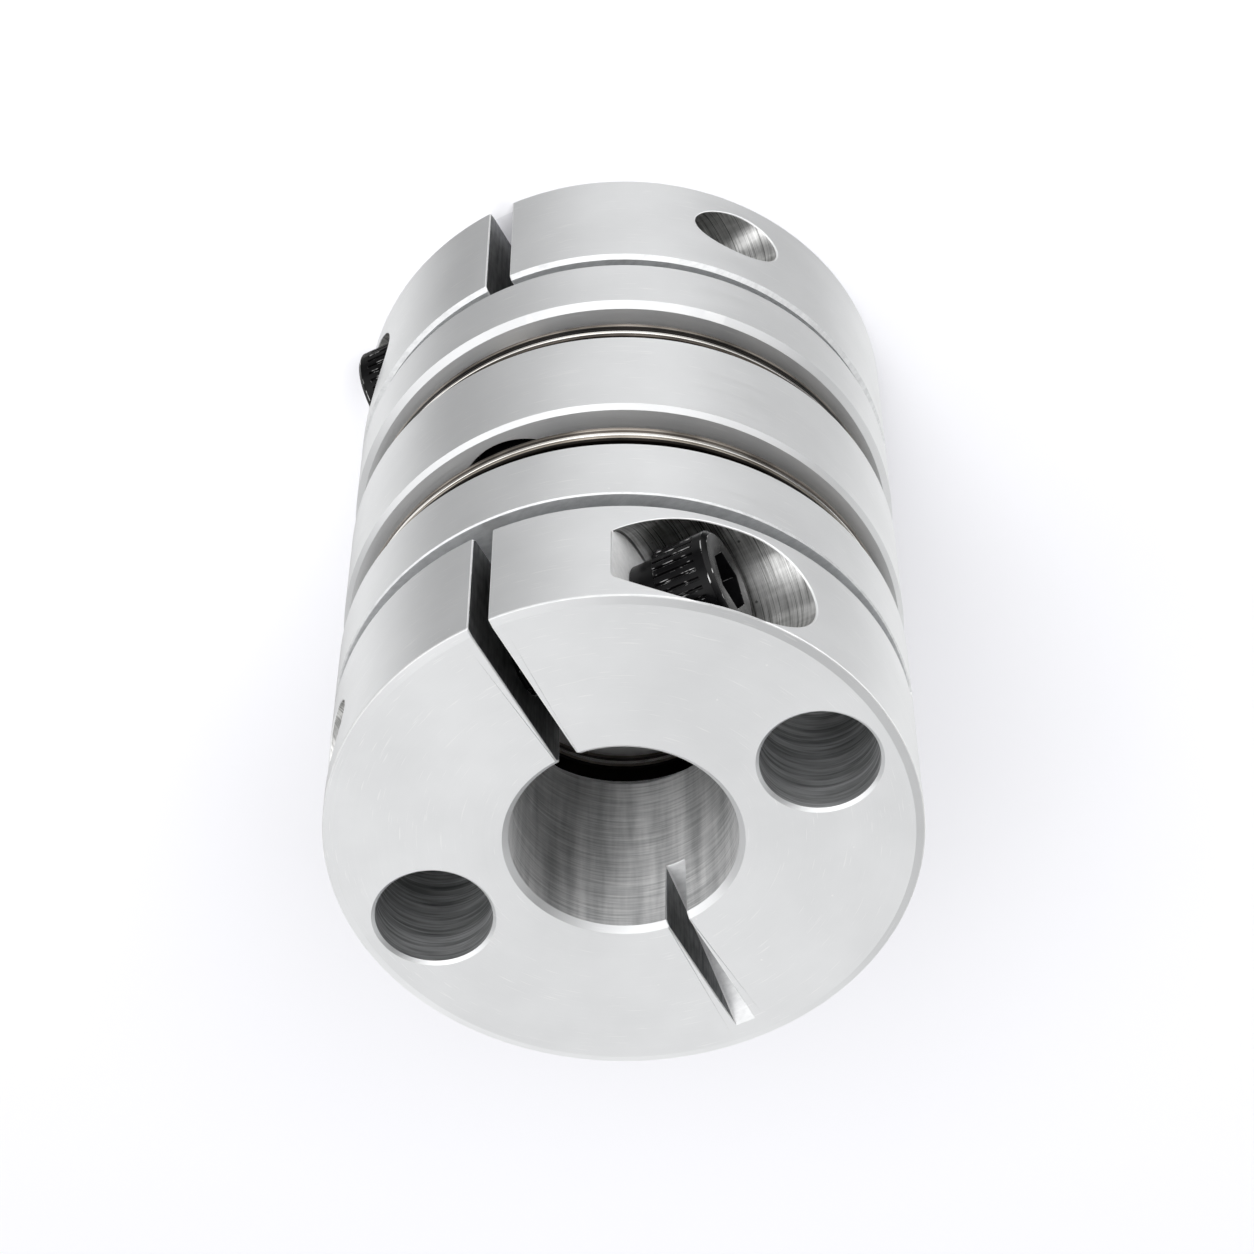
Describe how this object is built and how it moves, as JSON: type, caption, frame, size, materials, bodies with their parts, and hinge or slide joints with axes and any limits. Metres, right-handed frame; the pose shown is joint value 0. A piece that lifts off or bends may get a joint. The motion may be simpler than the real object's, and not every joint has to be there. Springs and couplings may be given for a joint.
{
  "type": "double diaphragm coupling",
  "caption": "Rigid-in-torsion shaft coupling with two clamp hubs, two packs of thin steel discs and a spacer ring between them.",
  "frame": {"origin": "centre of the lower hub's end face, on the shaft axis, where the coupling stands", "axes": "+Z along the shaft axis up through the upper hub, +Y towards the clamp slots of both hubs, +X towards the upper clamp screw's head"},
  "size_m": [0.026, 0.026, 0.035],
  "materials": {
    "machined_aluminium": "fine-turned aluminium with a satin clear finish",
    "spring_steel": "bright rolled spring steel",
    "collar_steel": "turned stainless steel",
    "black_oxide_steel": "black oxide, lightly oiled"
  },
  "bodies": {
    "root": {"upper_hub": "machined_aluminium", "lower_hub": "machined_aluminium", "center_spacer": "machined_aluminium", "upper_clamp_screw": "black_oxide_steel", "lower_clamp_screw": "black_oxide_steel", "upper_clamp_collar": "black_oxide_steel", "lower_clamp_collar": "black_oxide_steel", "upper_disc_1": "spring_steel", "upper_disc_2": "spring_steel", "upper_disc_3": "spring_steel", "upper_disc_4": "spring_steel", "upper_disc_5": "spring_steel", "lower_disc_1": "spring_steel", "lower_disc_2": "spring_steel", "lower_disc_3": "spring_steel", "lower_disc_4": "spring_steel", "lower_disc_5": "spring_steel", "upper_disc_screw_1": "black_oxide_steel", "upper_disc_screw_2": "black_oxide_steel", "upper_disc_screw_3": "black_oxide_steel", "upper_disc_screw_4": "black_oxide_steel", "lower_disc_screw_1": "black_oxide_steel", "lower_disc_screw_2": "black_oxide_steel", "lower_disc_screw_3": "black_oxide_steel", "lower_disc_screw_4": "black_oxide_steel", "upper_seat_collar_1": "collar_steel", "upper_seat_collar_2": "collar_steel", "upper_seat_collar_3": "collar_steel", "upper_seat_collar_4": "collar_steel", "lower_seat_collar_1": "collar_steel", "lower_seat_collar_2": "collar_steel", "lower_seat_collar_3": "collar_steel", "lower_seat_collar_4": "collar_steel", "upper_head_collar_1": "collar_steel", "upper_head_collar_2": "collar_steel", "upper_head_collar_3": "collar_steel", "upper_head_collar_4": "collar_steel", "lower_head_collar_1": "collar_steel", "lower_head_collar_2": "collar_steel", "lower_head_collar_3": "collar_steel", "lower_head_collar_4": "collar_steel"}
  },
  "joints": []
}
